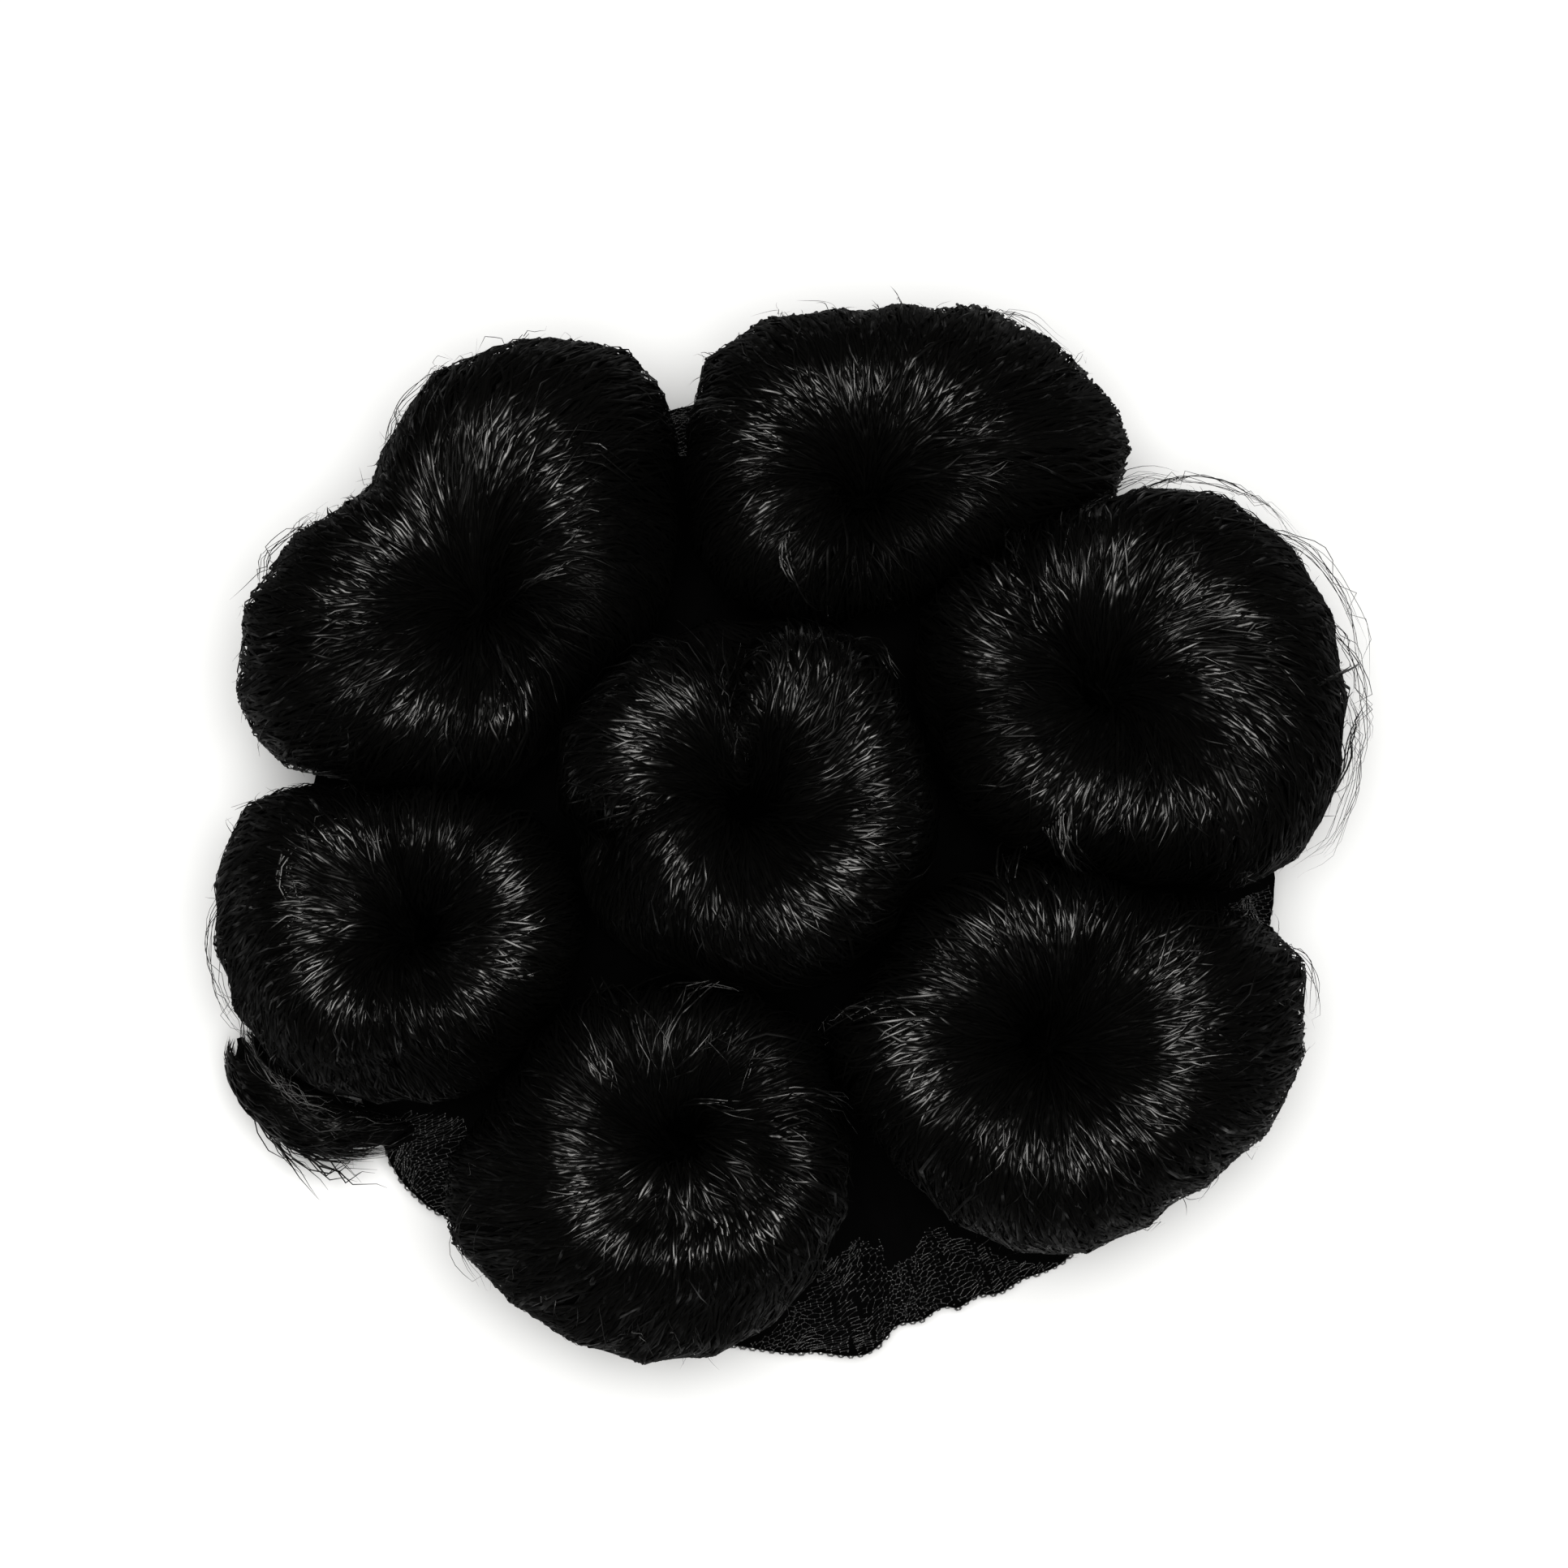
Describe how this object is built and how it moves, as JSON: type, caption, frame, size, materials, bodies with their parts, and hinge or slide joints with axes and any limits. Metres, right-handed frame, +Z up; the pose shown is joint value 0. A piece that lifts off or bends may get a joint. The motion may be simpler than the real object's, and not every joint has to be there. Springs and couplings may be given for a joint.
{
  "type": "top knot hairpiece",
  "caption": "Low round hairpiece of rolled black curls, each round a deep well, sewn on a shallow gathered net cap that is open below to sit over a bun",
  "frame": {"origin": "middle of the footprint, on the surface that the rim rests on", "axes": "+Z up through the cap's crown, +Y to the back of the piece (up in the picture), +X to its right"},
  "size_m": [0.1508, 0.1426, 0.0548],
  "materials": {
    "black hair": "glossy black synthetic hair in fine combed strands",
    "black net": "fine black knitted net, dull with small glints on its threads"
  },
  "bodies": {
    "root": {"curl_center": "black hair", "curl_top_left": "black hair", "curl_top": "black hair", "curl_right": "black hair", "curl_bottom_right": "black hair", "curl_bottom": "black hair", "curl_left": "black hair", "tail_lock": "black hair", "net_cap": "black net", "rim_band": "black net"}
  },
  "joints": []
}
